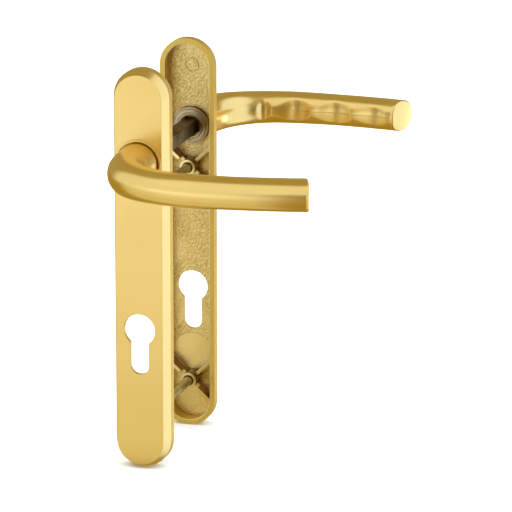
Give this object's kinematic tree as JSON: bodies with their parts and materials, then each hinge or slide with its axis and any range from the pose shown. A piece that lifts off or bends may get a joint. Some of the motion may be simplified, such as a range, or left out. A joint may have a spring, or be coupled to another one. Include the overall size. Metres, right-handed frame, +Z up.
{
  "type": "lever door handle set",
  "caption": "Mirror-image pair of gold lever door handles on long rounded backplates with cylinder cut-outs, joined by a square spindle and through screws.",
  "frame": {"origin": "on the spindle's axis, midway between the two backplates' rims, in the middle of the door", "axes": "+X along the levers towards their tips, +Y through the door from outside to inside, +Z up along the backplates"},
  "size_m": [0.1255, 0.2062, 0.22],
  "materials": {
    "gold_aluminium": "satin gold anodised",
    "grey_zinc": "dull die-cast",
    "spring_steel": "bright drawn",
    "dark_steel": "rough drawn bar",
    "zinc_plated_steel": "zinc plated",
    "black_plastic": "matt moulded"
  },
  "bodies": {
    "plates": {"outside_plate": "gold_aluminium", "inside_plate": "gold_aluminium", "outside_bearing_bush": "black_plastic", "inside_bearing_bush": "black_plastic", "outside_spring_cup": "grey_zinc", "inside_spring_cup": "grey_zinc", "outside_return_spring": "spring_steel", "inside_return_spring": "spring_steel", "fixing_screws": "zinc_plated_steel", "threaded_sleeves": "zinc_plated_steel"},
    "lever_set": {"outside_lever": "gold_aluminium", "inside_lever": "gold_aluminium", "outside_neck_sleeve": "grey_zinc", "inside_neck_sleeve": "grey_zinc", "outside_shim_washer": "black_plastic", "inside_shim_washer": "black_plastic", "outside_drive_washer": "grey_zinc", "inside_drive_washer": "grey_zinc", "outside_retaining_ring": "spring_steel", "inside_retaining_ring": "spring_steel", "spindle": "dark_steel"}
  },
  "joints": [
    {"name": "lever_turn", "type": "hinge", "parent": "plates", "child": "lever_set", "pos_m": [0, 0, 0], "axis": [0, 1, 0], "range_deg": [-40, 40], "stiffness_Nm_per_rad": 2.4, "springref_deg": -2.29, "deforming": ["outside_return_spring", "inside_return_spring"]}
  ]
}
